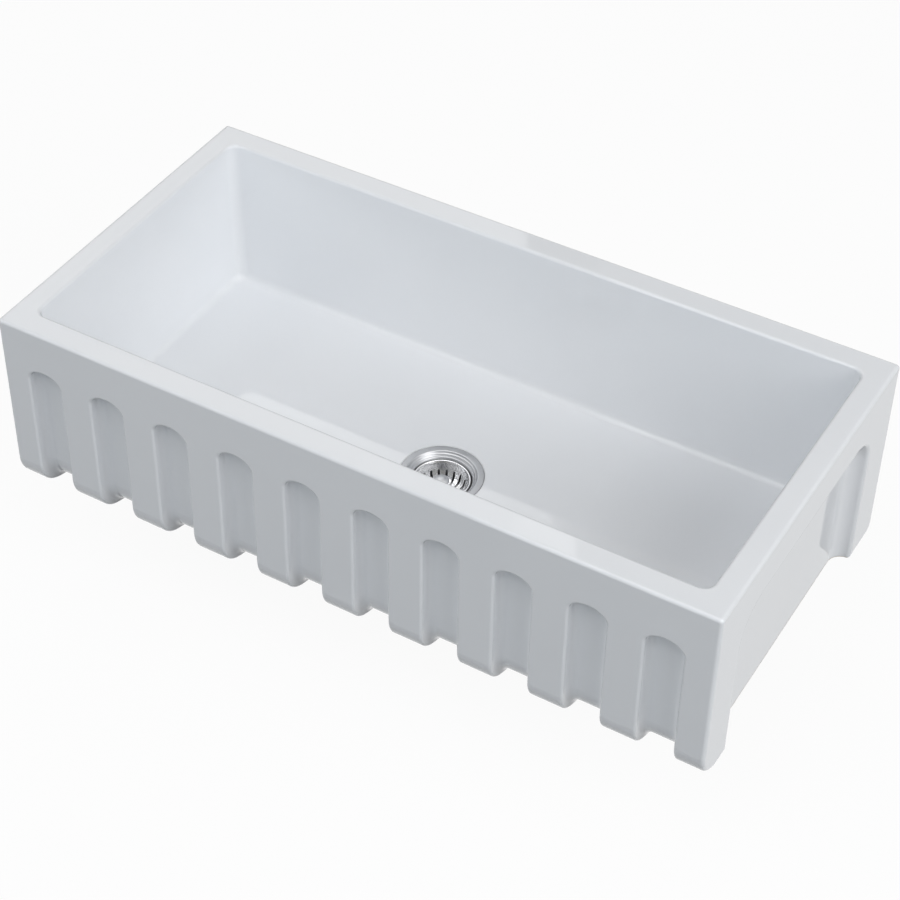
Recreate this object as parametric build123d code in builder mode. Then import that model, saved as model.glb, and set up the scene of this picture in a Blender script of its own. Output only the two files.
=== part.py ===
from build123d import *
import math
import os

# Farmhouse apron front sink in glazed fireclay, with its basket strainer and tailpiece.
# Millimetres. +Z is up and +X runs along the sink, the fluted apron faces -Y.
# The origin is the centre of the plane that the sink's feet stand on, under the drain.

os.makedirs("parts", exist_ok=True)

# ---------------------------------------------------------------- fireclay body
sink_length = 914.0
sink_width = 462.0
sink_height = 254.0
end_rim = 30.0              # flat rim over each end wall
long_rim = 32.5             # flat rim over the apron and over the rear wall
bowl_draft = 1.2            # degrees that the bowl walls lean in towards the floor
bowl_corner_radius = 14.0
bowl_corner_taper = 1.2     # the bowl's corners tighten this much towards the floor
bowl_floor_fillet = 9.0
rim_inner_round = 4.0
body_edge_round = 4.5
front_foot_radius = 41.0    # the apron rolls under to its foot on this radius
rear_foot_radius = 12.0
floor_thickness = 25.0
foot_ring_height = 23.0     # from the feet up to the underside of the floor

# ten arched flutes in the apron
flute_count = 10
flute_end_margin = 58.75    # from each end to the middle of the outermost flute
flute_width = 45.0
flute_depth = 16.0
flute_cove = 10.0           # hollow corner between a flute's flank and its back
flute_top_margin = 58.5     # from the rim down to the crown of each flute
flute_arch_rise = 16.0
flute_foot_radius = 44.0    # the back of a flute rolls under on this radius
flute_foot_gap = 3.0        # flutes run out this far above the feet
flute_edge_round = 3.0

# arched alcove in each end wall, between a front and a rear leg
leg_width = 62.0
alcove_depth = 20.0
alcove_top_margin = 54.0    # from the rim down to the flat of the arch
alcove_corner_run = 50.0
alcove_corner_rise = 42.0
alcove_cove = 18.0

# shallow hollow under the floor, inside the foot ring
end_wall_foot = 32.0        # foot ring's width below each alcove panel
hollow_corner_radius = 20.0
hollow_ceiling_fillet = 8.0

# ---------------------------------------------------------------- drain cut-out and strainer
drain_clearance = 2.5       # between the strainer's neck and the cut-out
drain_edge_round = 3.0
rebate_depth = 3.0          # seat in the bowl floor that takes the flange flush
rebate_clearance = 1.0
flange_width = 7.7          # flat satin part of the flange
flange_thickness = 1.5
flange_edge = 0.5           # bevel on the flange's outer edge
seal_ring_width = 6.0
seal_ring_thickness = 1.5
lip_width = 7.2             # polished lip between the satin flange and the cup
lip_steps = 3
lip_tread = 0.9             # narrow ledge at the head of each step
cup_inner_radius = 36.6
cup_wall = 2.9
cup_depth = 45.0            # from the flange down to the edge of the cup's floor
cup_corner = 6.0            # inside radius between the cup's wall and floor
cup_floor_drop = 3.0        # the cup's floor falls this much towards the outlet
neck_flare = 3.0            # the neck widens this much under the flange
neck_flare_height = 4.0
outlet_margin = 1.45        # the outlet's bore is this much wider than the tailpiece
outlet_wall = 3.0
outlet_length = 20.0        # threaded outlet below the cup

# clamping stack under the floor
gasket_thickness = 4.0
gasket_width = 15.0         # the gasket reaches this far out from the cut-out
friction_thickness = 1.2
friction_inset = 2.0        # the fibre ring stops this far inside the gasket's edge
stack_bore_clearance = 0.8  # between the cup's thread and the rings around it
locknut_height = 12.0
locknut_wall = 10.35
locknut_lugs = 6
locknut_lug_reach = 8.0
locknut_lug_width = 12.0
locknut_round = 1.0
thread_clearance = 0.15

# cross welded in the outlet
cross_height = 3.0
cross_drop = 6.0            # from the cup's floor down to the cross
cross_arm_width = 3.2
cross_arm_count = 4
cross_ring_wall = 3.5

# tailpiece below the strainer
tail_radius = 19.05         # 1 1/2 inch tube
tail_wall = 1.2
tail_length = 101.6
tail_flange_thickness = 1.6
tail_flange_inset = 0.5     # the tube's flange and washer stop short of the outlet's outside
tail_washer_thickness = 2.0
tail_shoulder = 0.25        # the tube is a little thicker where the nut's lip grips it
tail_shoulder_end = 0.5     # the shoulder ends this far below the nut
nut_wall = 3.2
nut_height = 19.0
nut_ribs = 16
nut_rib_radius = 1.4
nut_lip_thickness = 2.5

# ---------------------------------------------------------------- basket and stopper
seat_gap = 0.3              # free space where two bodies rest on each other
basket_gap = 1.4            # black ring between the cup and the basket's rim
basket_rim_drop = 7.2       # from the flange down to the basket's rim
basket_bead = 1.1
basket_sheet = 0.9
basket_depth = 26.0
basket_taper = 11.2         # the basket's floor is this much narrower than its rim
basket_corner = 9.0         # outside radius between the basket's floor and wall
basket_slots = 20
slot_width = 2.4
slot_inner_radius = 14.5
slot_height = 15.0
stem_radius = 3.5
bush_wall = 2.2
bush_flange = 3.0
bush_flange_thickness = 1.0
running_clearance = 0.08
stopper_overlap = 7.0       # the stopper reaches this far past the outlet's mouth
stopper_lip = 2.4           # height of the stopper's outer edge
stopper_bevel = 5.0
stopper_nose = 1.0          # the seal's nose hangs this far inside the outlet
plate_drop = 1.0            # from the plate's underside up from the outlet's mouth
plate_inset = 1.5           # the plate stops this far inside the seal's nose
plate_thickness = 1.2
sleeve_wall = 1.9
sleeve_clearance = 0.1
sleeve_height = 16.0
collar_height = 2.0
clip_height = 1.2
clip_reach = 1.6
clip_wrap = 0.4             # the open clip's ends stop this far short of its middle
stem_end = 1.5              # free end of the stem below the clip
stem_chamfer = 0.6
knob_radius = 9.5
knob_height = 9.0
knob_drop = 5.0             # from the flange down to the knob's crown
knob_crown_rise = 3.0
knob_rim_height = 1.5
knob_neck_wall = 1.4
knob_waist_radius = 5.0

# ---------------------------------------------------------------- levels and radii that follow
underside_level = foot_ring_height
floor_level = underside_level + floor_thickness
bowl_depth = sink_height - floor_level
seal_bottom = floor_level - rebate_depth
flange_level = seal_bottom + seal_ring_thickness + flange_thickness
neck_radius = cup_inner_radius + cup_wall
drain_radius = neck_radius + drain_clearance
lip_top_radius = cup_inner_radius + lip_width
flange_radius = lip_top_radius + flange_width
cup_floor_level = flange_level - cup_depth
outlet_level = cup_floor_level - cup_floor_drop
outlet_radius = tail_radius + outlet_margin
outlet_outer_radius = outlet_radius + outlet_wall
outlet_end_level = outlet_level - cup_wall - outlet_length
bowl_length = sink_length - 2 * end_rim
bowl_width = sink_width - 2 * long_rim
bowl_shrink = bowl_depth * math.tan(math.radians(bowl_draft))
panel_x = sink_length / 2 - alcove_depth
flute_pitch = (sink_length - 2 * flute_end_margin) / (flute_count - 1)


# ---------------------------------------------------------------- hollow forms of the body
# The bowl: a rounded rectangle that narrows a little towards a rounded floor.
with BuildPart() as bowl_form:
    with BuildSketch(Plane.XY.offset(sink_height)):
        RectangleRounded(bowl_length, bowl_width, bowl_corner_radius)
    with BuildSketch(Plane.XY.offset(floor_level)):
        RectangleRounded(
            bowl_length - 2 * bowl_shrink,
            bowl_width - 2 * bowl_shrink,
            bowl_corner_radius - bowl_corner_taper,
        )
    loft(ruled=True)
    fillet(bowl_form.faces().sort_by(Axis.Z)[0].edges(), bowl_floor_fillet)

# One end alcove: an arch with elliptical corners, coved all round into a flat panel.
alcove_half = sink_width / 2 - leg_width
alcove_top = sink_height - alcove_top_margin
alcove_spring = alcove_top - alcove_corner_rise
below_foot = -30.0          # cutters run out below the feet
with BuildPart() as alcove_form:
    with BuildSketch(Plane.YZ.offset(panel_x)):
        with BuildLine():
            Line((-alcove_half, below_foot), (-alcove_half, alcove_spring))
            EllipticalCenterArc(
                (-alcove_half + alcove_corner_run, alcove_spring),
                alcove_corner_run,
                alcove_corner_rise,
                start_angle=90,
                arc_size=90,
            )
            Line(
                (-alcove_half + alcove_corner_run, alcove_top),
                (alcove_half - alcove_corner_run, alcove_top),
            )
            EllipticalCenterArc(
                (alcove_half - alcove_corner_run, alcove_spring),
                alcove_corner_run,
                alcove_corner_rise,
                start_angle=0,
                arc_size=90,
            )
            Line((alcove_half, alcove_spring), (alcove_half, below_foot))
            Line((alcove_half, below_foot), (-alcove_half, below_foot))
        make_face()
    extrude(amount=alcove_depth + body_edge_round)
    panel_edges = alcove_form.faces().sort_by(Axis.X)[0].edges()
    fillet(panel_edges.filter_by(lambda edge: edge.center().Z > below_foot / 2), alcove_cove)

# One flute: a coved channel swept down the apron and under its foot, cut off by an arch.
flute_back = -sink_width / 2 + flute_depth
flute_crown = sink_height - flute_top_margin
flute_spring = flute_crown - flute_arch_rise
flute_flat = flute_width / 2 - flute_cove
foot_inner_y = -alcove_half
flute_proud = 2 * flute_depth
with BuildPart() as flute_form:
    with BuildLine(Plane.YZ) as flute_path:
        Line((flute_back, sink_height), (flute_back, flute_foot_gap + flute_foot_radius))
        RadiusArc(
            (flute_back, flute_foot_gap + flute_foot_radius),
            (flute_back + flute_foot_radius, flute_foot_gap),
            -flute_foot_radius,
        )
        Line(
            (flute_back + flute_foot_radius, flute_foot_gap),
            (foot_inner_y + flute_cove, flute_foot_gap),
        )
    with BuildSketch(Plane(origin=(0, flute_back, sink_height), x_dir=(1, 0, 0), z_dir=(0, 0, -1))):
        with BuildLine():
            Line((-flute_flat, 0), (flute_flat, 0))
            RadiusArc((flute_flat, 0), (flute_width / 2, flute_cove), -flute_cove)
            Line((flute_width / 2, flute_cove), (flute_width / 2, flute_proud))
            Line((flute_width / 2, flute_proud), (-flute_width / 2, flute_proud))
            Line((-flute_width / 2, flute_proud), (-flute_width / 2, flute_cove))
            RadiusArc((-flute_width / 2, flute_cove), (-flute_flat, 0), -flute_cove)
        make_face()
    sweep(path=flute_path.line)
    with BuildSketch(Plane.XZ.offset(sink_width / 2 + flute_proud)):
        with BuildLine():
            Line((-flute_width / 2, below_foot), (-flute_width / 2, flute_spring))
            EllipticalCenterArc(
                (0, flute_spring), flute_width / 2, flute_arch_rise, start_angle=0, arc_size=180
            )
            Line((flute_width / 2, flute_spring), (flute_width / 2, below_foot))
            Line((flute_width / 2, below_foot), (-flute_width / 2, below_foot))
        make_face()
    extrude(amount=-sink_width / 2, mode=Mode.INTERSECT)

flute_places = [
    ((number - (flute_count - 1) / 2) * flute_pitch, 0, 0)
    for number in range(flute_count)
]
flute_reach = flute_places[-1][0] + flute_width / 2 + flute_edge_round

# ---------------------------------------------------------------- sink body
# One fired piece: four walls, a thick floor on a foot ring, flutes in front, alcoves at the ends.
with BuildPart() as sink_body:
    with BuildSketch(Plane.YZ):
        with BuildLine():
            FilletPolyline(
                (-sink_width / 2, sink_height), (-sink_width / 2, 0), (0, 0), radius=front_foot_radius
            )
            FilletPolyline(
                (0, 0), (sink_width / 2, 0), (sink_width / 2, sink_height), radius=rear_foot_radius
            )
            Line((sink_width / 2, sink_height), (-sink_width / 2, sink_height))
        make_face()
    extrude(amount=sink_length / 2, both=True)
    add(alcove_form.part, mode=Mode.SUBTRACT)
    add(mirror(alcove_form.part, about=Plane.YZ), mode=Mode.SUBTRACT)
    end_faces = sink_body.faces().filter_by(Axis.X).filter_by_position(
        Axis.X, -sink_length / 2 - 1, -sink_length / 2 + 1
    ) + sink_body.faces().filter_by(Axis.X).filter_by_position(
        Axis.X, sink_length / 2 - 1, sink_length / 2 + 1
    )
    top_edges = sink_body.edges().filter_by(Axis.X).group_by(Axis.Z)[-1]
    fillet(end_faces.edges() + top_edges, body_edge_round)
    with BuildSketch():
        RectangleRounded(2 * (panel_x - end_wall_foot), 2 * alcove_half, hollow_corner_radius)
    extrude(amount=underside_level, mode=Mode.SUBTRACT)
    ceiling = sink_body.faces().filter_by(Axis.Z).filter_by_position(
        Axis.Z, underside_level - 0.5, underside_level + 0.5
    )
    fillet(ceiling.edges(), hollow_ceiling_fillet)
    with Locations(*flute_places):
        add(flute_form.part, mode=Mode.SUBTRACT)
    apron_edges = sink_body.edges().filter_by_position(
        Axis.Y, -sink_width / 2 - 0.01, -sink_width / 2 + 0.01
    )
    flute_edges = apron_edges.filter_by(
        lambda edge: edge.center().Z < flute_crown + 1
        and abs(edge.center().X) < flute_reach
        and edge.bounding_box().size.Z > 1
    )
    fillet(flute_edges, flute_edge_round)
    add(bowl_form.part, mode=Mode.SUBTRACT)
    bowl_edges = sink_body.faces().sort_by(Axis.Z)[-1].inner_wires()[0].edges()
    fillet(bowl_edges, rim_inner_round)
    with Locations((0, 0, floor_level)):
        CounterBoreHole(
            radius=drain_radius,
            counter_bore_radius=flange_radius + rebate_clearance,
            counter_bore_depth=rebate_depth,
            depth=floor_thickness + rebate_depth,
        )
    drain_edge = sink_body.edges().filter_by(GeomType.CIRCLE).filter_by_position(
        Axis.Z, floor_level - rebate_depth - 0.1, floor_level - rebate_depth + 0.1
    )
    fillet(drain_edge.sort_by(SortBy.RADIUS)[0], drain_edge_round)
sink_body.part.label = "sink_body"
export_step(sink_body.part, "parts/sink_body.step")


def ring(outer_radius, inner_radius, bottom, height):
    """A plain flat ring about the drain's axis."""
    with BuildPart() as piece:
        with BuildSketch(Plane.XY.offset(bottom)):
            Circle(outer_radius)
            Circle(inner_radius, mode=Mode.SUBTRACT)
        extrude(amount=height)
    return piece.part


# ---------------------------------------------------------------- flange seal
# Soft white ring that beds the strainer's flange in the rebate of the floor.
with BuildPart() as flange_seal:
    add(ring(flange_radius, flange_radius - seal_ring_width, seal_bottom, seal_ring_thickness))
flange_seal.part.label = "flange_seal"
export_step(flange_seal.part, "parts/flange_seal.step")

# ---------------------------------------------------------------- strainer body
# Deep cup of stainless steel: flat flange, stepped lip, threaded neck and a threaded outlet.
flange_bottom = flange_level - flange_thickness
corner_radius = cup_inner_radius - cup_corner
corner_level = cup_floor_level + cup_corner
lip_run = (lip_top_radius - cup_inner_radius) / lip_steps
lip_fall = (basket_rim_drop + basket_bead) / lip_steps
lip_points = []
for number in range(lip_steps):
    step_radius = lip_top_radius - number * lip_run
    step_level = flange_level - number * lip_fall
    lip_points.append((step_radius, step_level))
    lip_points.append((step_radius - lip_tread, step_level - lip_tread / 3))
with BuildPart() as strainer_body:
    with BuildSketch(Plane.XZ):
        with BuildLine():
            Polyline(
                (neck_radius, corner_level),
                (neck_radius, flange_bottom - neck_flare_height),
                (neck_radius + neck_flare, flange_bottom),
                (flange_radius, flange_bottom),
                (flange_radius, flange_level - flange_edge),
                (flange_radius - flange_edge, flange_level),
                *lip_points,
                (cup_inner_radius, flange_level - lip_steps * lip_fall),
                (cup_inner_radius, corner_level),
            )
            RadiusArc((cup_inner_radius, corner_level), (corner_radius, cup_floor_level), cup_corner)
            Polyline(
                (corner_radius, cup_floor_level),
                (outlet_radius, outlet_level),
                (outlet_radius, outlet_end_level),
                (outlet_outer_radius, outlet_end_level),
                (outlet_outer_radius, outlet_level - cup_wall),
                (corner_radius, cup_floor_level - cup_wall),
            )
            RadiusArc(
                (corner_radius, cup_floor_level - cup_wall),
                (neck_radius, corner_level),
                -cup_corner - cup_wall,
            )
        make_face()
    revolve(axis=Axis.Z)
strainer_body.part.label = "strainer_body"
export_step(strainer_body.part, "parts/strainer_body.step")

# ---------------------------------------------------------------- outlet cross
# Four arms and a ring across the outlet, which guide the stopper's stem.
cross_bottom = outlet_level - cross_drop
sleeve_radius = stem_radius + sleeve_wall
cross_bore = sleeve_radius + sleeve_clearance
cross_ring_radius = cross_bore + cross_ring_wall
with BuildPart() as outlet_cross:
    with BuildSketch(Plane.XY.offset(cross_bottom)):
        Circle(cross_ring_radius)
        for number in range(cross_arm_count // 2):
            Rectangle(2 * outlet_radius, cross_arm_width, rotation=360 / cross_arm_count * number)
        Circle(cross_bore, mode=Mode.SUBTRACT)
    extrude(amount=cross_height)
    with BuildSketch(Plane.XY.offset(cross_bottom)):
        Circle(outlet_radius)
    extrude(amount=cross_height, mode=Mode.INTERSECT)
outlet_cross.part.label = "outlet_cross"
export_step(outlet_cross.part, "parts/outlet_cross.step")

# ---------------------------------------------------------------- clamping stack
# Rubber gasket, slippery fibre ring and a lugged locknut pull the flange down on the floor.
stack_bore = neck_radius + stack_bore_clearance
gasket_radius = drain_radius + gasket_width
friction_radius = gasket_radius - friction_inset
locknut_bore = neck_radius + thread_clearance
locknut_radius = locknut_bore + locknut_wall
gasket_bottom = underside_level - gasket_thickness
friction_bottom = gasket_bottom - friction_thickness
locknut_bottom = friction_bottom - locknut_height
with BuildPart() as under_gasket:
    add(ring(gasket_radius, stack_bore, gasket_bottom, gasket_thickness))
    outer_edge = under_gasket.edges().filter_by(GeomType.CIRCLE).sort_by(SortBy.RADIUS)[-1]
    chamfer(outer_edge, gasket_thickness / 4)
under_gasket.part.label = "under_gasket"
export_step(under_gasket.part, "parts/under_gasket.step")

with BuildPart() as friction_ring:
    add(ring(friction_radius, stack_bore, friction_bottom, friction_thickness))
friction_ring.part.label = "friction_ring"
export_step(friction_ring.part, "parts/friction_ring.step")

with BuildPart() as locknut:
    with BuildSketch(Plane.XY.offset(locknut_bottom)):
        Circle(locknut_radius)
        with PolarLocations(locknut_radius, locknut_lugs):
            SlotCenterPoint((0, 0), (locknut_lug_reach / 2, 0), locknut_lug_width)
        Circle(locknut_bore, mode=Mode.SUBTRACT)
    extrude(amount=locknut_height)
    fillet(locknut.faces().sort_by(Axis.Z)[0].outer_wire().edges(), locknut_round)
locknut.part.label = "locknut"
export_step(locknut.part, "parts/locknut.step")

# ---------------------------------------------------------------- tailpiece and its nut
# A flanged tube hangs from the outlet, held up by a ribbed nut with a nylon washer between.
washer_bottom = outlet_end_level - tail_washer_thickness
tail_flange_bottom = washer_bottom - tail_flange_thickness
tail_end_level = washer_bottom - tail_length
tail_flange_radius = outlet_outer_radius - tail_flange_inset
with BuildPart() as tailpiece_washer:
    add(ring(tail_flange_radius, tail_radius - tail_wall, washer_bottom, tail_washer_thickness))
tailpiece_washer.part.label = "tailpiece_washer"
export_step(tailpiece_washer.part, "parts/tailpiece_washer.step")

nut_bottom = tail_flange_bottom - nut_lip_thickness
shoulder_bottom = nut_bottom - tail_shoulder_end
tail_inner_radius = tail_radius - tail_wall
shoulder_radius = tail_radius + tail_shoulder
with BuildPart() as tailpiece:
    add(ring(tail_radius, tail_inner_radius, tail_end_level, tail_length))
    add(ring(tail_flange_radius, tail_inner_radius, tail_flange_bottom, tail_flange_thickness))
    add(
        ring(
            shoulder_radius,
            tail_inner_radius,
            shoulder_bottom,
            tail_flange_bottom - shoulder_bottom,
        )
    )
tailpiece.part.label = "tailpiece"
export_step(tailpiece.part, "parts/tailpiece.step")

nut_inner_radius = outlet_outer_radius + thread_clearance
nut_outer_radius = nut_inner_radius + nut_wall
with BuildPart() as coupling_nut:
    with BuildSketch(Plane.XY.offset(nut_bottom)):
        Circle(nut_outer_radius)
        with PolarLocations(nut_outer_radius, nut_ribs):
            Circle(nut_rib_radius)
    extrude(amount=nut_height)
    with BuildSketch(Plane.XY.offset(tail_flange_bottom)):
        Circle(nut_inner_radius)
    extrude(amount=nut_height, mode=Mode.SUBTRACT)
    with BuildSketch(Plane.XY.offset(nut_bottom)):
        Circle(shoulder_radius + thread_clearance)
    extrude(amount=nut_height, mode=Mode.SUBTRACT)
coupling_nut.part.label = "coupling_nut"
export_step(coupling_nut.part, "parts/coupling_nut.step")

# ---------------------------------------------------------------- basket
# Pressed cup with a rolled rim and narrow slots that run from its wall on to its floor.
rim_level = flange_level - basket_rim_drop
basket_rim_radius = cup_inner_radius - basket_gap
basket_floor_radius = basket_rim_radius - basket_taper
basket_floor_level = rim_level - basket_depth
wall_top_radius = basket_rim_radius - basket_bead + basket_sheet / 2
bush_outer_radius = stem_radius + running_clearance + bush_wall
sheet_bottom = basket_floor_level - basket_sheet
with BuildPart() as strainer_basket:
    with BuildSketch(Plane.XZ):
        with BuildLine():
            FilletPolyline(
                (0, sheet_bottom),
                (basket_floor_radius + basket_corner / 2, sheet_bottom),
                (wall_top_radius, rim_level - basket_bead),
                radius=basket_corner,
            )
            Polyline(
                (wall_top_radius, rim_level - basket_bead),
                (0, rim_level - basket_bead),
                (0, sheet_bottom),
            )
        make_face()
    revolve(axis=Axis.Z)
    offset(amount=-basket_sheet, openings=strainer_basket.faces().sort_by(Axis.Z)[-1])
    with Locations((0, 0, sheet_bottom)):
        Cylinder(bush_outer_radius, basket_depth, mode=Mode.SUBTRACT)
    with BuildSketch(Plane.XZ):
        with Locations((basket_rim_radius - basket_bead, rim_level - basket_bead)):
            Circle(basket_bead)
    revolve(axis=Axis.Z)
    with BuildSketch(Plane.XY.offset(sheet_bottom - basket_sheet)):
        with PolarLocations((slot_inner_radius + basket_rim_radius) / 2, basket_slots):
            SlotOverall(basket_rim_radius - slot_inner_radius, slot_width)
    extrude(amount=slot_height, mode=Mode.SUBTRACT)
strainer_basket.part.label = "strainer_basket"
export_step(strainer_basket.part, "parts/strainer_basket.step")

# Flanged bush pressed in the middle of the basket, so that it turns freely on the stem.
with BuildPart() as basket_bush:
    add(
        ring(
            bush_outer_radius,
            stem_radius + running_clearance,
            sheet_bottom,
            basket_sheet + bush_flange_thickness,
        )
    )
    add(
        ring(
            bush_outer_radius + bush_flange,
            stem_radius + running_clearance,
            basket_floor_level,
            bush_flange_thickness,
        )
    )
basket_bush.part.label = "basket_bush"
export_step(basket_bush.part, "parts/basket_bush.step")

# ---------------------------------------------------------------- stopper on its stem
# Rubber disc under the basket with a sloping lip that closes the outlet.
stopper_top = sheet_bottom - seat_gap
nose_radius = outlet_radius - stopper_nose
stopper_radius = outlet_radius + stopper_overlap
cup_slope = cup_floor_drop / (corner_radius - outlet_radius)
lip_level = outlet_level + cup_slope * (stopper_radius - outlet_radius) + seat_gap
nose_level = lip_level - cup_slope * (stopper_radius - nose_radius)
plate_top = outlet_level + plate_drop + plate_thickness
nose_end_radius = nose_radius - stopper_nose
plate_radius = nose_end_radius - plate_inset
with BuildPart() as stopper_seal:
    with BuildSketch(Plane.XZ):
        with BuildLine():
            Polyline(
                (stem_radius, stopper_top),
                (stopper_radius - stopper_bevel, stopper_top),
                (stopper_radius, lip_level + stopper_lip),
                (stopper_radius, lip_level),
                (nose_radius, nose_level),
                (nose_end_radius, plate_top),
                (stem_radius, plate_top),
                (stem_radius, stopper_top),
            )
        make_face()
    revolve(axis=Axis.Z)
stopper_seal.part.label = "stopper_seal"
export_step(stopper_seal.part, "parts/stopper_seal.step")

with BuildPart() as seal_plate:
    add(ring(plate_radius, stem_radius, plate_top - plate_thickness, plate_thickness))
    plate_edge = seal_plate.edges().filter_by(GeomType.CIRCLE).sort_by(SortBy.RADIUS)[-1]
    chamfer(plate_edge, plate_thickness / 3)
seal_plate.part.label = "seal_plate"
export_step(seal_plate.part, "parts/seal_plate.step")

# Nylon sleeve that slides through the cross, and the clip that holds the stack on the stem.
sleeve_top = plate_top - plate_thickness
sleeve_bottom = sleeve_top - sleeve_height
clip_bottom = sleeve_bottom - clip_height
with BuildPart() as stem_sleeve:
    add(ring(sleeve_radius, stem_radius, sleeve_bottom, sleeve_height))
stem_sleeve.part.label = "stem_sleeve"
export_step(stem_sleeve.part, "parts/stem_sleeve.step")

with BuildPart() as stem_clip:
    add(ring(stem_radius + clip_reach, stem_radius, clip_bottom, clip_height))
    with Locations((stem_radius + clip_reach, 0, clip_bottom + clip_height / 2)):
        Box(2 * (clip_reach + clip_wrap), stem_radius, clip_height, mode=Mode.SUBTRACT)
stem_clip.part.label = "stem_clip"
export_step(stem_clip.part, "parts/stem_clip.step")

# Push-on collar that keeps the basket down on the stopper while it turns.
with BuildPart() as stem_collar:
    add(
        ring(
            bush_outer_radius,
            stem_radius,
            basket_floor_level + bush_flange_thickness + seat_gap,
            collar_height,
        )
    )
stem_collar.part.label = "stem_collar"
export_step(stem_collar.part, "parts/stem_collar.step")

# Turned knob on a straight stem.
knob_top = flange_level - knob_drop
knob_bottom = knob_top - knob_height
with BuildPart() as basket_stem:
    with BuildSketch(Plane.XY.offset(clip_bottom - stem_end)):
        Circle(stem_radius)
    extrude(amount=knob_bottom - clip_bottom + stem_end)
    chamfer(basket_stem.edges().sort_by(Axis.Z)[0], stem_chamfer)
basket_stem.part.label = "basket_stem"
export_step(basket_stem.part, "parts/basket_stem.step")

crown_radius = (knob_radius**2 + knob_crown_rise**2) / (2 * knob_crown_rise)
crown_level = knob_top - knob_crown_rise
rim_bottom = crown_level - knob_rim_height
knob_neck_radius = stem_radius + knob_neck_wall
with BuildPart() as basket_knob:
    with BuildSketch(Plane.XZ):
        with BuildLine():
            RadiusArc((0, knob_top), (knob_radius, crown_level), crown_radius)
            Line((knob_radius, crown_level), (knob_radius, rim_bottom))
            RadiusArc((knob_radius, rim_bottom), (knob_neck_radius, knob_bottom), -knob_waist_radius)
            Line((knob_neck_radius, knob_bottom), (0, knob_bottom))
            Line((0, knob_bottom), (0, knob_top))
        make_face()
    revolve(axis=Axis.Z)
basket_knob.part.label = "basket_knob"
export_step(basket_knob.part, "parts/basket_knob.step")
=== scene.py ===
import math

import bmesh
import bpy
from mathutils import Euler, Matrix, Vector


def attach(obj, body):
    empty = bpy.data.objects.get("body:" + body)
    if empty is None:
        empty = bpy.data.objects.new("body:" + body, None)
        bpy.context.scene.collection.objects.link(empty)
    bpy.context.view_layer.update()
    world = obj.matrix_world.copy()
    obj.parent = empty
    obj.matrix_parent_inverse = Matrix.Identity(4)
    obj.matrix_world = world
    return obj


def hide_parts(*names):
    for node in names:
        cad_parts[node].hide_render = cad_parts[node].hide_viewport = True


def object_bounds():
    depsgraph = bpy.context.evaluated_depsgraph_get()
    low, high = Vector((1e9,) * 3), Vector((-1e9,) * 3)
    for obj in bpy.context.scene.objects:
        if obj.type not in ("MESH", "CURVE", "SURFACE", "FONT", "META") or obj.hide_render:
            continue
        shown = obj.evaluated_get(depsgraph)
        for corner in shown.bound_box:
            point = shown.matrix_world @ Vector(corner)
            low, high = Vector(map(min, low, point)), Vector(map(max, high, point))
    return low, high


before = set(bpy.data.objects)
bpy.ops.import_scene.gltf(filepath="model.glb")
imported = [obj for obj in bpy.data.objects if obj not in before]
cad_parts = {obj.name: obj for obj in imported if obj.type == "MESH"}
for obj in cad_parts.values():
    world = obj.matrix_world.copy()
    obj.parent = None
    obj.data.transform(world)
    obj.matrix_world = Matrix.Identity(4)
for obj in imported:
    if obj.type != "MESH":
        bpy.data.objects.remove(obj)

cad_box = [list(corner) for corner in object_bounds()]

# ------------------------------------------------------------------ camera
# Looks down on the sink from its right front corner, as the catalogue picture does.
# The lens is long, and a small shift keeps the sink where it is in the picture.
camera_place = (0.98573, -1.70676, 1.88079)
camera_turn = 31.55         # degrees to the left of +Y
camera_tilt = 41.69         # degrees below the horizon
camera_roll = -0.15
camera_data = bpy.data.cameras.new("camera")
camera_data.sensor_width = 36.0
camera_data.lens = 90.33
camera_data.shift_x = 0.0591
camera_data.shift_y = -0.0267
camera = bpy.data.objects.new("camera", camera_data)
camera.location = camera_place
look = Euler((math.radians(90 - camera_tilt), 0, math.radians(camera_turn))).to_matrix()
camera.rotation_euler = (look @ Matrix.Rotation(math.radians(camera_roll), 3, "Z")).to_euler()
bpy.context.scene.collection.objects.link(camera)
bpy.context.scene.camera = camera


# ------------------------------------------------------------------ fireclay body
# One piece of fired clay under a thick white glaze. The glaze lies very slightly uneven, in slow
# waves and a fine orange peel. The feet and the hollow under the floor are left as bare biscuit.
def new_material(name, colour, roughness, metallic=0.0):
    """A node material with one Principled shader. Returns the material, its tree and the shader."""
    material = bpy.data.materials.new(name)
    material.use_nodes = True
    shader = material.node_tree.nodes["Principled BSDF"]
    shader.inputs["Base Color"].default_value = (*colour, 1)
    shader.inputs["Roughness"].default_value = roughness
    shader.inputs["Metallic"].default_value = metallic
    return material, material.node_tree, shader


def add_node(tree, kind, **settings):
    """Adds a node. A setting named like one of its sockets sets that socket, another an option."""
    node = tree.nodes.new(kind)
    for name, value in settings.items():
        socket = node.inputs.get(name.replace("_", " ").title())
        if socket is not None:
            socket.default_value = value
        else:
            setattr(node, name, value)
    return node


def reckon(tree, operation, first, second):
    """One step of arithmetic on outputs or plain numbers."""
    step = add_node(tree, "ShaderNodeMath", operation=operation)
    for socket, value in zip(step.inputs, (first, second)):
        if isinstance(value, (int, float)):
            socket.default_value = value
        else:
            tree.links.new(value, socket)
    return step.outputs["Value"]


def noise(tree, scale, detail=2.0, roughness=0.5):
    """Noise on the piece's own coordinates, so many cells to the metre."""
    place = add_node(tree, "ShaderNodeTexCoord")
    cloud = add_node(tree, "ShaderNodeTexNoise", scale=scale, detail=detail, roughness=roughness)
    tree.links.new(place.outputs["Object"], cloud.inputs["Vector"])
    return cloud.outputs["Fac"]


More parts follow.
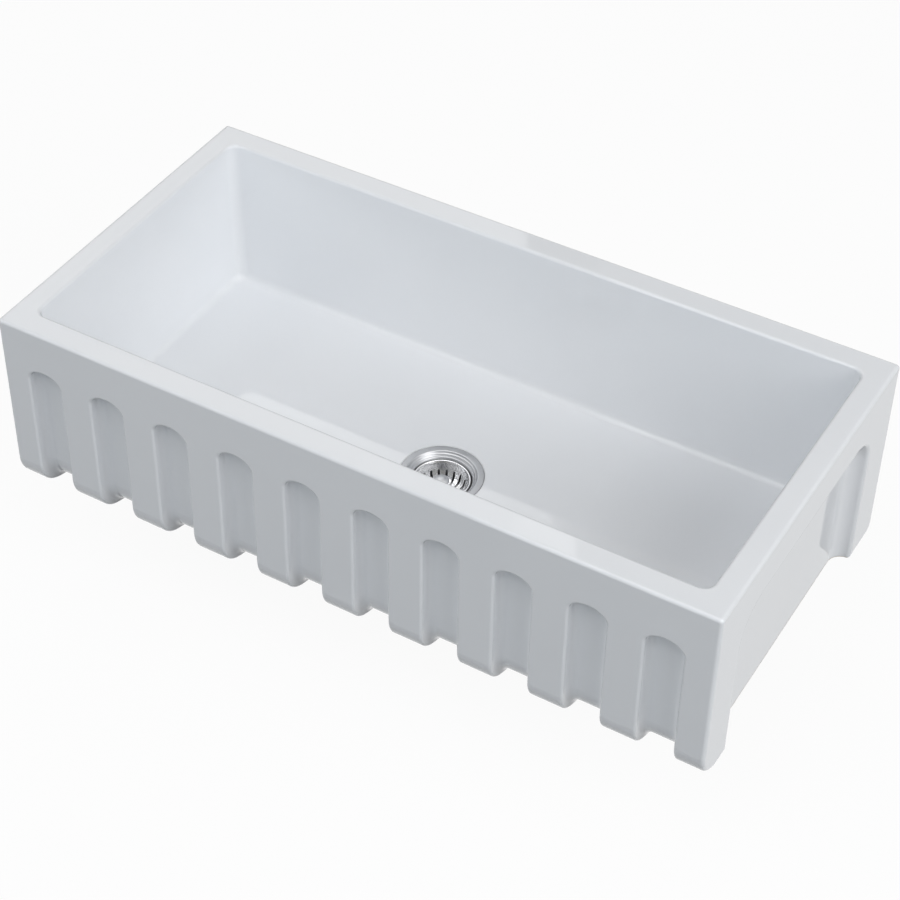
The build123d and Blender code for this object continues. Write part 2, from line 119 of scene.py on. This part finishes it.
def tones(tree, factor, low, high):
    """A colour that drifts between two tones."""
    ramp = add_node(tree, "ShaderNodeValToRGB")
    ramp.color_ramp.elements[0].position = 0.35
    ramp.color_ramp.elements[1].position = 0.65
    ramp.color_ramp.elements[0].color = (*low, 1)
    ramp.color_ramp.elements[1].color = (*high, 1)
    tree.links.new(factor, ramp.inputs["Fac"])
    return ramp.outputs["Color"]


def spread(tree, factor, low, high):
    """A number that drifts between two values."""
    span = add_node(tree, "ShaderNodeMapRange", from_min=0.3, from_max=0.7, to_min=low, to_max=high)
    tree.links.new(factor, span.inputs["Value"])
    return span.outputs["Result"]


def uneven(tree, shader, heights):
    """Bumps the surface by (height output, depth in metres) pairs, one on top of the other."""
    below = None
    for height, depth in heights:
        bump = add_node(tree, "ShaderNodeBump", strength=1.0, distance=depth)
        tree.links.new(height, bump.inputs["Height"])
        if below is not None:
            tree.links.new(below, bump.inputs["Normal"])
        below = bump.outputs["Normal"]
    tree.links.new(below, shader.inputs["Normal"])


def set_material(node_name, material):
    """Gives a frame node its finish."""
    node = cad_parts[node_name]
    if not node.material_slots:
        node.data.materials.append(material)
    for place in node.material_slots:
        place.material = material


glaze_light = (0.868, 0.884, 0.905)
glaze_shade = (0.855, 0.872, 0.895)
glaze_roughness = (0.02, 0.045)
wave_depth = 0.00012
peel_depth = 0.0000015
biscuit_light = (0.74, 0.70, 0.62)
biscuit_shade = (0.64, 0.59, 0.51)
biscuit_roughness = 0.85
grit_depth = 0.00012
wiped_height = 0.0012       # the feet are wiped clean of glaze this far up
wiped_rag = 0.0012          # the edge of the glaze wanders over this height
hollow_height = 0.0240      # level of the hollow inside the foot ring, which is bare
hollow_half_length = 0.4055
hollow_half_width = 0.1695
glaze, tree, shader = new_material("fireclay_glaze", glaze_light, 0.05)
place = add_node(tree, "ShaderNodeTexCoord")
axes = add_node(tree, "ShaderNodeSeparateXYZ")
tree.links.new(place.outputs["Object"], axes.inputs["Vector"])
ragged = reckon(tree, "MULTIPLY", noise(tree, 160.0), wiped_rag)
level = reckon(tree, "ADD", axes.outputs["Z"], ragged)
wiped = reckon(tree, "LESS_THAN", level, wiped_height + wiped_rag / 2)
along = reckon(tree, "ABSOLUTE", axes.outputs["X"], 0)
across = reckon(tree, "ABSOLUTE", axes.outputs["Y"], 0)
between_ends = reckon(tree, "LESS_THAN", along, hollow_half_length)
between_sides = reckon(tree, "LESS_THAN", across, hollow_half_width)
under = reckon(tree, "LESS_THAN", axes.outputs["Z"], hollow_height)
inside = reckon(tree, "MULTIPLY", between_ends, between_sides)
bare = reckon(tree, "MAXIMUM", wiped, reckon(tree, "MULTIPLY", under, inside))
glaze_tone = tones(tree, noise(tree, 7.0), glaze_shade, glaze_light)
biscuit_tone = tones(tree, noise(tree, 300.0, 6.0), biscuit_shade, biscuit_light)
finish = add_node(tree, "ShaderNodeMix", data_type="RGBA")
tree.links.new(bare, finish.inputs["Factor"])
tree.links.new(glaze_tone, finish.inputs["A"])
tree.links.new(biscuit_tone, finish.inputs["B"])
tree.links.new(finish.outputs["Result"], shader.inputs["Base Color"])
gloss = spread(tree, noise(tree, 30.0), *glaze_roughness)
matt = reckon(tree, "MULTIPLY", bare, biscuit_roughness)
tree.links.new(reckon(tree, "MAXIMUM", gloss, matt), shader.inputs["Roughness"])
waves = noise(tree, 10.0, 1.0)
peel = noise(tree, 420.0, 1.0)
grit = reckon(tree, "MULTIPLY", noise(tree, 1400.0, 4.0), bare)
uneven(tree, shader, [(waves, wave_depth), (peel, peel_depth), (grit, grit_depth)])
set_material("sink_body", glaze)

# ------------------------------------------------------------------ seal under the flange
# White silicone ring that beds the strainer's flange in the floor's rebate. It is squeezed out
# round the flange when the nut is tightened, and fills the gap to the fireclay.
def rounded_outline(board, outline, closed):
    """Draws an outline of (radius, level, cut) in millimetres and rounds each corner by its cut."""
    corners = [board.verts.new((radius / 1000, 0, level / 1000)) for radius, level, cut in outline]
    for first, second in zip(corners, corners[1:]):
        board.edges.new((first, second))
    if closed:
        board.edges.new((corners[-1], corners[0]))
    for cut in sorted({cut for radius, level, cut in outline if cut}):
        rounded = [corner for corner, (radius, level, own) in zip(corners, outline) if own == cut]
        bmesh.ops.bevel(
            board,
            geom=rounded,
            offset=cut / 1000,
            offset_type="OFFSET",
            segments=4,
            profile=0.5,
            affect="VERTICES",
            material=-1,
            clamp_overlap=True,
        )


def turned(outline, closed=True, steps=128):
    """A solid of revolution about the drain's axis."""
    board = bmesh.new()
    rounded_outline(board, outline, closed)
    bmesh.ops.spin(
        board,
        geom=board.verts[:] + board.edges[:],
        cent=(0, 0, 0),
        axis=(0, 0, 1),
        dvec=(0, 0, 0),
        angle=math.tau,
        steps=steps,
        use_merge=True,
    )
    bmesh.ops.remove_doubles(board, verts=board.verts, dist=0.000002)
    bmesh.ops.recalc_face_normals(board, faces=board.faces)
    return board


def rounded_edges(board, edges, size, segments):
    """Rounds some edges of a board by a size in millimetres."""
    bmesh.ops.bevel(
        board,
        geom=edges,
        offset=size / 1000,
        offset_type="OFFSET",
        segments=segments,
        profile=0.5,
        affect="EDGES",
        material=-1,
        clamp_overlap=True,
    )


def stand_in(board, name, node_name, body_name, slot_name, *materials):
    """Makes the board an object that stands for a frame node, smooth but for its sharp edges."""
    for face in board.faces:
        face.smooth = True
    for edge in board.edges:
        edge.smooth = edge.calc_face_angle(0) < math.radians(35)
    mesh = bpy.data.meshes.new(name)
    board.to_mesh(mesh)
    board.free()
    for material in materials:
        mesh.materials.append(material)
    piece = bpy.data.objects.new(name, mesh)
    bpy.context.scene.collection.objects.link(piece)
    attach(piece, body_name)
    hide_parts(node_name)
    return piece


def drift(tree, shader, colour, roughness):
    """Lets colour and roughness drift. Each is a noise and the two values that it goes between."""
    tree.links.new(tones(tree, *colour), shader.inputs["Base Color"])
    tree.links.new(spread(tree, *roughness), shader.inputs["Roughness"])


seal_outline = [
    (45.5, 45.0, 0.2),
    (52.45, 45.0, 0.2),
    (52.45, 47.5, 0.25),
    (51.55, 47.3, 0.15),
    (51.55, 46.5, 0),
    (45.5, 46.5, 0.4),
]
silicone, tree, shader = new_material("white_silicone", (0.84, 0.85, 0.85), 0.42)
drift(
    tree,
    shader,
    colour=(noise(tree, 90.0), (0.80, 0.81, 0.81), (0.86, 0.87, 0.875)),
    roughness=(noise(tree, 140.0), 0.36, 0.5),
)
uneven(tree, shader, [(noise(tree, 260.0), 0.00012)])
stand_in(turned(seal_outline), "silicone_ring", "flange_seal", "sink", "white_seal", silicone)

# ------------------------------------------------------------------ strainer body
# Deep-drawn stainless cup. Its flange is satin, the stepped lip inside it is polished, and the neck
# and the outlet carry rolled threads. Fine lines from the lathe run round every face.
def turned_lines(tree, scale):
    """Lines left by the lathe: noise that changes with the radius and the level only."""
    place = add_node(tree, "ShaderNodeTexCoord")
    parts = add_node(tree, "ShaderNodeSeparateXYZ")
    flat = add_node(tree, "ShaderNodeCombineXYZ")
    reach = add_node(tree, "ShaderNodeVectorMath", operation="LENGTH")
    across = add_node(tree, "ShaderNodeCombineXYZ")
    cloud = add_node(tree, "ShaderNodeTexNoise", scale=scale, detail=3.0, roughness=0.6)
    tree.links.new(place.outputs["Object"], parts.inputs["Vector"])
    tree.links.new(parts.outputs["X"], flat.inputs["X"])
    tree.links.new(parts.outputs["Y"], flat.inputs["Y"])
    tree.links.new(flat.outputs["Vector"], reach.inputs[0])
    tree.links.new(reach.outputs["Value"], across.inputs["X"])
    tree.links.new(parts.outputs["Z"], across.inputs["Z"])
    tree.links.new(across.outputs["Vector"], cloud.inputs["Vector"])
    return cloud.outputs["Fac"]


def turned_metal(name, low, high, smooth, rough, line_depth):
    """Metal whose tone, roughness and height follow the lines of the lathe."""
    metal, tree, shader = new_material(name, high, smooth, 1.0)
    lines = turned_lines(tree, 2600.0)
    cloud = noise(tree, 60.0)
    mixed = reckon(tree, "MULTIPLY", reckon(tree, "ADD", lines, cloud), 0.5)
    drift(tree, shader, colour=(mixed, low, high), roughness=(mixed, smooth, rough))
    uneven(tree, shader, [(lines, line_depth)])
    return metal


def thread(board, neck, crest, pitch, bottom, top):
    """Adds a helical thread ridge to a turned neck, in millimetres."""
    steps = 48                  # spin steps for one turn
    foot = neck - 0.3           # the ridge starts a little inside the neck
    section = [
        board.verts.new((radius / 1000, 0, (bottom + along * pitch) / 1000))
        for radius, along in ((foot, 0.1), (crest, 0.38), (crest, 0.52), (foot, 0.8))
    ]
    face = board.faces.new(section)
    turns = (top - bottom) / pitch - 1
    bmesh.ops.spin(
        board,
        geom=[face, *face.edges, *face.verts],
        cent=(0, 0, 0),
        axis=(0, 0, 1),
        dvec=(0, 0, pitch / steps / 1000),
        angle=math.tau * turns,
        steps=round(steps * turns),
        use_merge=False,
    )
    bmesh.ops.recalc_face_normals(board, faces=board.faces)


satin_steel = turned_metal(
    "satin_steel",
    low=(0.30, 0.306, 0.318),
    high=(0.37, 0.377, 0.39),
    smooth=0.32,
    rough=0.44,
    line_depth=0.000004,
)
polished_steel = turned_metal(
    "polished_steel",
    low=(0.41, 0.415, 0.428),
    high=(0.51, 0.515, 0.528),
    smooth=0.32,
    rough=0.42,
    line_depth=0.000002,
)
lip_radius = 43.8           # the satin flange ends and the polished lip begins
flange_level = 48.0         # top of the flange
flange_underside = 46.5
neck_radius = 38.8
outlet_radius = 22.8
strainer_outline = [
    (neck_radius, 10.0, 0),
    (neck_radius, 42.6, 0.5),
    (42.5, flange_underside, 0.6),
    (51.5, flange_underside, 0.1),
    (51.5, 47.6, 0.2),
    (50.9, flange_level, 0.35),
    (lip_radius, flange_level, 0.3),
    (42.9, 47.6, 0.4),
    (41.5, 45.3, 0.4),
    (40.5, 44.9, 0.4),
    (39.1, 42.5, 0.4),
    (38.1, 42.1, 0.4),
    (36.6, 39.7, 0.5),
    (36.6, 3.9, 4.8),
    (20.5, 0.0, 0.8),
    (20.5, -22.9, 0.4),
    (outlet_radius, -22.9, 0.3),
    (outlet_radius, -2.9, 0.8),
    (neck_radius, 1.2, 6.0),
]
cup = turned(strainer_outline)
for face in cup.faces:
    middle = face.calc_center_median() * 1000
    on_flange = middle.xy.length > lip_radius - 0.25 and middle.z > flange_underside - 0.1
    face.material_index = 1 if on_flange else 0
thread(cup, neck=neck_radius, crest=39.45, pitch=2.6, bottom=12.0, top=42.0)
thread(cup, neck=outlet_radius, crest=23.45, pitch=2.2, bottom=-22.5, top=-4.0)
stand_in(
    cup,
    "strainer_cup",
    "strainer_body",
    "sink",
    "polished_steel",
    polished_steel,
    satin_steel,
)

# ------------------------------------------------------------------ gasket and friction ring
# Black rubber gasket with two raised sealing ribs against the fireclay, and a thin ring of pressed
# fibre under it, so that the turning nut doesn't drag on the rubber.
gasket_outline = [
    (40.3, 19.0, 0.3),
    (55.4, 19.0, 0.5),
    (57.0, 20.4, 0.6),
    (57.0, 22.4, 0.5),
    (54.6, 22.4, 0.2),
    (54.2, 23.0, 0.2),
    (52.6, 23.0, 0.2),
    (52.2, 22.4, 0.2),
    (46.8, 22.4, 0.2),
    (46.4, 23.0, 0.2),
    (44.8, 23.0, 0.2),
    (44.4, 22.4, 0.2),
    (40.3, 22.4, 0.3),
]
rubber, tree, shader = new_material("black_rubber", (0.03, 0.03, 0.033), 0.6)
bloom = noise(tree, 75.0, 5.0)
drift(
    tree,
    shader,
    colour=(bloom, (0.022, 0.022, 0.024), (0.045, 0.046, 0.05)),
    roughness=(bloom, 0.5, 0.72),
)
uneven(tree, shader, [(noise(tree, 2200.0, 3.0), 0.00004)])
stand_in(turned(gasket_outline), "rubber_gasket", "under_gasket", "sink", "black_rubber", rubber)

fibre, tree, shader = new_material("pressed_fibre", (0.42, 0.31, 0.19), 0.85)
flecks = noise(tree, 900.0, 6.0, 0.7)
drift(
    tree,
    shader,
    colour=(flecks, (0.33, 0.23, 0.13), (0.50, 0.38, 0.25)),
    roughness=(flecks, 0.75, 0.92),
)
uneven(tree, shader, [(flecks, 0.00006)])
set_material("friction_ring", fibre)

# ------------------------------------------------------------------ locknut
# Six-lug nut of zinc-plated cast metal, which clamps the strainer. Its lugs are cast with the ring,
# rounded for the spanner, and the bore is chamfered at both ends of its thread.
locknut_bore = 39.65
bore_chamfer_radius = 40.5
locknut_radius = 50.0
locknut_bottom = 5.8
locknut_top = 17.8
lug_reach = 9.9
lug_count = 6
lug_corner_round = 3.0      # the lugs' upright corners are rounded by this
lug_edge_round = 0.8        # and their other edges by this
sharp_fold = 1.0            # radians between the faces of an edge that gets rounded
locknut_outline = [
    (locknut_bore, 6.8, 0),
    (bore_chamfer_radius, locknut_bottom, 0.2),
    (49.0, locknut_bottom, 0.3),
    (locknut_radius, 6.8, 0.3),
    (locknut_radius, locknut_top, 0.3),
    (bore_chamfer_radius, locknut_top, 0.2),
    (locknut_bore, 16.8, 0),
]


def beside_lug(point, count, half_width):
    """Tells whether a point lies within half a lug's angle of one of the evenly spaced lugs."""
    pitch = math.tau / count
    angle = math.atan2(point.y, point.x)
    return abs(angle - round(angle / pitch) * pitch) < half_width


def upright_wall(board, radius, count, half_width):
    """The outer wall's upright faces that lie under the lugs."""
    return [
        face
        for face in board.faces
        if beside_lug(face.calc_center_median(), count, half_width)
        and face.calc_center_median().xy.length * 1000 > radius - 0.2
        and abs(face.normal.z) < 0.1
    ]


def folds_outside(board, radius, fold, pick):
    """Edges with more than this fold whose nearer (min) or farther (max) end is past a radius."""
    return [
        edge
        for edge in board.edges
        if edge.calc_face_angle(0) > fold
        and pick(vertex.co.xy.length for vertex in edge.verts) * 1000 > radius
    ]


def push_out(board, faces, count, reach):
    """Extrudes faces of an outer wall into lugs that run straight out from the axis."""
    pushed = bmesh.ops.extrude_face_region(board, geom=faces)
    bmesh.ops.delete(board, geom=faces, context="FACES")
    for vertex in [item for item in pushed["geom"] if isinstance(item, bmesh.types.BMVert)]:
        pitch = math.tau / count
        angle = round(math.atan2(vertex.co.y, vertex.co.x) / pitch) * pitch
        vertex.co += Vector((math.cos(angle), math.sin(angle), 0)) * reach / 1000


lug_steps = 13              # spin steps from one lug to the next, three of them under each lug
locknut = turned(locknut_outline, steps=lug_count * lug_steps)
half_step = Matrix.Rotation(math.pi / (lug_count * lug_steps), 3, "Z")
bmesh.ops.rotate(locknut, verts=locknut.verts, cent=(0, 0, 0), matrix=half_step)
lug_faces = upright_wall(locknut, locknut_radius, lug_count, math.radians(5.5))
push_out(locknut, lug_faces, lug_count, lug_reach)
bmesh.ops.recalc_face_normals(locknut, faces=locknut.faces)
lug_corners = [
    edge
    for edge in folds_outside(locknut, locknut_radius + lug_reach - 1.5, sharp_fold, min)
    if abs(edge.verts[0].co.z - edge.verts[1].co.z) > 0.005
]
rounded_edges(locknut, lug_corners, lug_corner_round, 4)
lug_edges = folds_outside(locknut, locknut_radius + 1.2, sharp_fold, max)
rounded_edges(locknut, lug_edges, lug_edge_round, 3)
plating, tree, shader = new_material("zinc_plating", (0.6, 0.61, 0.62), 0.34, 1.0)
cast = noise(tree, 320.0, 5.0, 0.6)
drift(
    tree,
    shader,
    colour=(noise(tree, 80.0), (0.52, 0.53, 0.55), (0.66, 0.66, 0.67)),
    roughness=(cast, 0.28, 0.48),
)
uneven(tree, shader, [(cast, 0.00008)])
stand_in(locknut, "lugged_nut", "locknut", "sink", "plated_nut", plating)

# ------------------------------------------------------------------ outlet cross
# Pressed steel cross, spot-welded in the strainer's outlet. The ring in its middle guides the
# sleeve on the stopper's stem.
set_material("outlet_cross", polished_steel)

# ------------------------------------------------------------------ tailpiece and its nut
# Chrome-plated tube with a pressed flange and a rolled lower end, hung on a nylon washer from the
# outlet by a moulded nut with sixteen grip ribs.
nylon, tree, shader = new_material("natural_nylon", (0.78, 0.77, 0.72), 0.38)
drift(
    tree,
    shader,
    colour=(noise(tree, 120.0), (0.74, 0.73, 0.67), (0.82, 0.81, 0.77)),
    roughness=(noise(tree, 500.0), 0.32, 0.46),
)
uneven(tree, shader, [(noise(tree, 700.0), 0.00003)])
set_material("tailpiece_washer", nylon)

tube_outline = [
    (17.85, -24.9, 0.3),
    (23.0, -24.9, 0.3),
    (23.0, -26.5, 0.4),
    (19.3, -26.5, 0.3),
    (19.3, -29.3, 0),
    (19.05, -29.6, 0.2),
    (19.05, -126.5, 0.7),
    (17.6, -126.5, 0.3),
    (17.6, -125.8, 0.3),
    (17.85, -125.2, 0.2),
]
chrome, tree, shader = new_material("chrome_plating", (0.78, 0.79, 0.81), 0.05, 1.0)
cloud = noise(tree, 45.0, 4.0)
drift(
    tree,
    shader,
    colour=(cloud, (0.74, 0.75, 0.775), (0.80, 0.81, 0.825)),
    roughness=(cloud, 0.035, 0.09),
)
uneven(tree, shader, [(turned_lines(tree, 900.0), 0.000002)])
stand_in(turned(tube_outline), "chrome_tube", "tailpiece", "sink", "chrome_tube", chrome)

grip_ribs = 16
rib_steps = 6               # spin steps from one rib to the next, two of them under each rib
rib_reach = 1.3
rib_edge_round = 0.45       # the ribs' edges are rounded by this
rib_fold = 0.9              # radians between the faces of an edge that gets rounded
nut_radius = 26.85
nut_outline = [
    (19.45, -29.0, 0.4),
    (25.6, -29.0, 0.4),
    (nut_radius, -27.4, 0.4),
    (nut_radius, -10.0, 0.5),
    (24.4, -10.0, 0.3),
    (23.65, -11.0, 0),
    (23.65, -26.5, 0.4),
    (19.45, -26.5, 0.2),
]
grip_nut = turned(nut_outline, steps=grip_ribs * rib_steps)
rib_faces = upright_wall(grip_nut, nut_radius, grip_ribs, math.radians(3.0))
push_out(grip_nut, rib_faces, grip_ribs, rib_reach)
bmesh.ops.recalc_face_normals(grip_nut, faces=grip_nut.faces)
rib_edges = folds_outside(grip_nut, nut_radius + 0.9, rib_fold, min)
rounded_edges(grip_nut, rib_edges, rib_edge_round, 3)
grey_plastic, tree, shader = new_material("grey_plastic", (0.62, 0.63, 0.64), 0.4)
drift(
    tree,
    shader,
    colour=(noise(tree, 60.0), (0.58, 0.59, 0.60), (0.66, 0.67, 0.68)),
    roughness=(noise(tree, 400.0), 0.34, 0.5),
)
uneven(tree, shader, [(noise(tree, 1500.0, 3.0), 0.00003)])
stand_in(grip_nut, "grip_nut", "coupling_nut", "sink", "grey_plastic", grey_plastic)

# ------------------------------------------------------------------ basket
# Lift-out basket pressed from one steel sheet: a curled rim, and twenty slots with rounded ends
# that run from its floor up its wall. It turns on a flanged nylon bush.
bright_steel = turned_metal(
    "bright_steel",
    low=(0.66, 0.665, 0.675),
    high=(0.76, 0.765, 0.775),
    smooth=0.15,
    rough=0.24,
    line_depth=0.000002,
)
sheet_thickness = 0.0009
basket_floor = 14.35
slot_count = 20
slot_half_width = 1.2
slot_start = 14.5           # radius of the slots' inner ends
slot_top = 28.0             # level of their upper ends
columns = 6 * slot_count    # two of every six columns of the sheet are a slot
sheet_line = [
    (5.8, basket_floor, 0),
    (9.5, basket_floor, 0),
    (12.6, basket_floor, 0),
    (slot_start, basket_floor, 0),
    (17.0, basket_floor, 0),
    (19.5, basket_floor, 0),
    (28.0, basket_floor, 6.6),
    (30.6, 24.6, 0),
    (31.34, slot_top, 0),
    (31.9, 30.4, 0),
    (32.8, 34.2, 0),
    (33.45, 37.2, 0),
    (33.5, 40.35, 0.75),
    (34.7, 40.35, 0.5),
    (34.7, 38.95, 0.4),
    (34.25, 38.95, 0),
]
sheet = turned(sheet_line, closed=False, steps=columns)
pitch = math.tau / slot_count
half_slot = pitch / 6       # half the angle that a slot's two columns take up
slot_faces = [
    face
    for face in sheet.faces
    if beside_lug(face.calc_center_median(), slot_count, half_slot)
    and face.calc_center_median().xy.length * 1000 > slot_start
    and face.calc_center_median().z * 1000 < slot_top
]
bmesh.ops.delete(sheet, geom=slot_faces, context="FACES")

# The slots' sides are drawn together, so that each slot is as wide at its top as at its start.
for vertex in sheet.verts:
    angle = math.atan2(vertex.co.y, vertex.co.x)
    slot_angle = round(angle / pitch) * pitch
    reach = vertex.co.xy.length * 1000
    on_slot = slot_start - 0.1 < reach and vertex.co.z * 1000 < slot_top + 0.1
    if on_slot and abs(abs(angle - slot_angle) - half_slot) < 0.01:
        side = math.copysign(slot_half_width, angle - slot_angle)
        along = math.sqrt(reach**2 - slot_half_width**2)
        outward = Vector((math.cos(slot_angle), math.sin(slot_angle), 0))
        sideways = Vector((-math.sin(slot_angle), math.cos(slot_angle), 0))
        vertex.co = (outward * along + sideways * side) / 1000 + Vector((0, 0, vertex.co.z))
basket = stand_in(
    sheet,
    "pressed_basket",
    "strainer_basket",
    "basket",
    "polished_steel",
    bright_steel,
)
wall = basket.modifiers.new("sheet_thickness", "SOLIDIFY")
wall.thickness = sheet_thickness
wall.offset = 0
wall.use_even_offset = True
softened = basket.modifiers.new("pressed_edges", "SUBSURF")
softened.levels = 2
softened.render_levels = 2
set_material("basket_bush", nylon)
set_material("stem_collar", nylon)

# ------------------------------------------------------------------ stopper
# Rubber disc under the basket that closes the outlet, backed by a steel plate. A nylon sleeve
# below it slides in the cross, and a spring clip holds the stack on the stem.
stopper_outline = [
    (3.5, 13.6, 0),
    (21.8, 13.6, 0.7),
    (23.6, 11.6, 0.4),
    (23.6, 11.0, 0.3),
    (24.4, 10.2, 0.4),
    (26.0, 7.4, 0.4),
    (26.0, 6.8, 0.3),
    (27.5, 4.8, 0.7),
    (27.5, 2.4, 0.6),
    (19.5, 0.05, 0.6),
    (18.5, 2.2, 0.2),
    (3.5, 2.2, 0),
]
stand_in(turned(stopper_outline), "rubber_stopper", "stopper_seal", "stem", "black_rubber", rubber)
plate_outline = [
    (3.5, 1.0, 0.2),
    (8.0, 1.0, 0.5),
    (8.8, 1.3, 0.5),
    (15.4, 1.3, 0.5),
    (16.2, 1.0, 0.3),
    (17.0, 1.4, 0.2),
    (17.0, 2.0, 0.2),
    (16.6, 2.2, 0),
    (3.5, 2.2, 0),
]
plate = turned(plate_outline)
stand_in(plate, "stopper_plate", "seal_plate", "stem", "polished_steel", satin_steel)
set_material("stem_sleeve", nylon)
set_material("stem_clip", plating)

# ------------------------------------------------------------------ stem and knob
# Ground steel stem with a turned knob on top, by which basket and stopper are lifted together.
# The stem is plain bar, and the knob is turned with a waist below its rim and fixed on its end.
stem_outline = [
    (0, -17.7, 0),
    (3.5, -17.7, 0.7),
    (3.5, 34.0, 0),
    (0, 34.0, 0),
]
stem = turned(stem_outline, closed=False, steps=64)
stand_in(stem, "ground_stem", "basket_stem", "stem", "polished_steel", polished_steel)
knob_outline = [
    (0, 42.9, 0),
    (2.4, 42.9, 0.3),
    (3.4, 42.7, 0.3),
    (6.2, 41.8, 0.2),
    (6.5, 41.45, 0.15),
    (6.9, 41.45, 0.15),
    (8.3, 40.8, 0.5),
    (9.5, 39.9, 0.4),
    (9.5, 38.5, 0.4),
    (7.75, 37.95, 0.8),
    (6.38, 37.09, 0.8),
    (5.35, 35.6, 0.8),
    (4.9, 34.0, 0.1),
    (0, 34.0, 0),
]
knob = turned(knob_outline, closed=False, steps=96)
stand_in(knob, "turned_knob", "basket_knob", "stem", "polished_steel", polished_steel)

# ------------------------------------------------------------------ floor and backdrop
# Plain surface under the drain. It shows as white with a faint shadow on it, and throws only a
# little light back, because the photographed sink stands in the open with a dim foot.
def seen_rays(tree):
    """One for rays from the camera, off gloss or through glass, nought for light on its way."""
    rays = add_node(tree, "ShaderNodeLightPath").outputs
    mirrored = reckon(tree, "MAXIMUM", rays["Is Glossy Ray"], rays["Is Transmission Ray"])
    return reckon(tree, "MAXIMUM", rays["Is Camera Ray"], mirrored)


floor_size = 12.0
floor_gap = 0.0005          # the tailpiece stands this far above the floor
floor_level = cad_box[0][2] - floor_gap
shadow_share = 0.06         # how much of the floor's white takes the shadow
board = bmesh.new()
bmesh.ops.create_grid(board, x_segments=1, y_segments=1, size=floor_size / 2)
bmesh.ops.translate(board, verts=board.verts, vec=(0, 0, floor_level))
floor_mesh = bpy.data.meshes.new("floor")
board.to_mesh(floor_mesh)
board.free()
floor = bpy.data.objects.new("floor", floor_mesh)
bpy.context.scene.collection.objects.link(floor)
floor_paint, tree, shader = new_material("floor_paint", (0.06, 0.06, 0.062), 0.9)
seen = seen_rays(tree)
paper = add_node(tree, "ShaderNodeBsdfDiffuse", color=(0.9, 0.9, 0.9, 1))
white = add_node(tree, "ShaderNodeEmission", color=(1, 1, 1, 1), strength=1.0)
shown = add_node(tree, "ShaderNodeMixShader")
shown.inputs["Fac"].default_value = 1 - shadow_share
tree.links.new(paper.outputs["BSDF"], shown.inputs[1])
tree.links.new(white.outputs["Emission"], shown.inputs[2])
blend = add_node(tree, "ShaderNodeMixShader")
tree.links.new(seen, blend.inputs["Fac"])
tree.links.new(shader.outputs["BSDF"], blend.inputs[1])
tree.links.new(shown.outputs["Shader"], blend.inputs[2])
tree.links.new(blend.outputs["Shader"], tree.nodes["Material Output"].inputs["Surface"])
floor_mesh.materials.append(floor_paint)

# ------------------------------------------------------------------ light
# Large soft boxes in a ring about the sink, all turned to its middle. The strongest stands at the
# right, a little in front, and a high and a low one light the apron. The one behind is dim, and the
# room about them is white to look at but lights the sink with a trace of blue only.
box_distance = 5.0
wide = 3.2                  # side of a box in metres
narrow = 2.5
plain_white = (1.0, 1.0, 1.0)
cool_white = (0.84, 0.93, 1.0)

# Each box: degrees round from +X, degrees up, side, watts and colour.
soft_boxes = {
    "right_front_box": (-17, 35, wide, 96.0, plain_white),
    "right_box": (0, 25, wide, 50.0, plain_white),
    "right_low_box": (0, 10, wide, 20.0, cool_white),
    "front_high_box": (-90, 65, wide, 64.0, plain_white),
    "front_low_box": (-90, 20, wide, 43.0, cool_white),
    "left_front_box": (-140, 35, wide, 45.0, plain_white),
    "left_rear_box": (134, 45, narrow, 29.0, plain_white),
    "rear_box": (90, 35, wide, 8.5, plain_white),
}
for name, (bearing, height, side, power, colour) in soft_boxes.items():
    level_reach = math.cos(math.radians(height))
    place = Vector((
        level_reach * math.cos(math.radians(bearing)),
        level_reach * math.sin(math.radians(bearing)),
        math.sin(math.radians(height)),
    ))
    lamp = bpy.data.lights.new(name, "AREA")
    lamp.size = side
    lamp.energy = power
    lamp.color = colour
    lamp_object = bpy.data.objects.new(name, lamp)
    lamp_object.location = box_distance * place
    lamp_object.rotation_euler = (-place).to_track_quat("-Z", "Y").to_euler()
    bpy.context.scene.collection.objects.link(lamp_object)

sky_blue = (0.5, 0.65, 1.0, 1)
sky_strength = 0.01
world = bpy.data.worlds.new("studio")
bpy.context.scene.world = world
world.use_nodes = True
tree = world.node_tree
sky = tree.nodes["Background"]
sky.inputs["Color"].default_value = sky_blue
sky.inputs["Strength"].default_value = sky_strength
white_sky = add_node(tree, "ShaderNodeBackground", color=(1, 1, 1, 1), strength=1.0)
blend = add_node(tree, "ShaderNodeMixShader")
tree.links.new(seen_rays(tree), blend.inputs["Fac"])
tree.links.new(sky.outputs["Background"], blend.inputs[1])
tree.links.new(white_sky.outputs["Background"], blend.inputs[2])
tree.links.new(blend.outputs["Shader"], tree.nodes["World Output"].inputs["Surface"])

bpy.context.scene.view_settings.view_transform = "Standard"
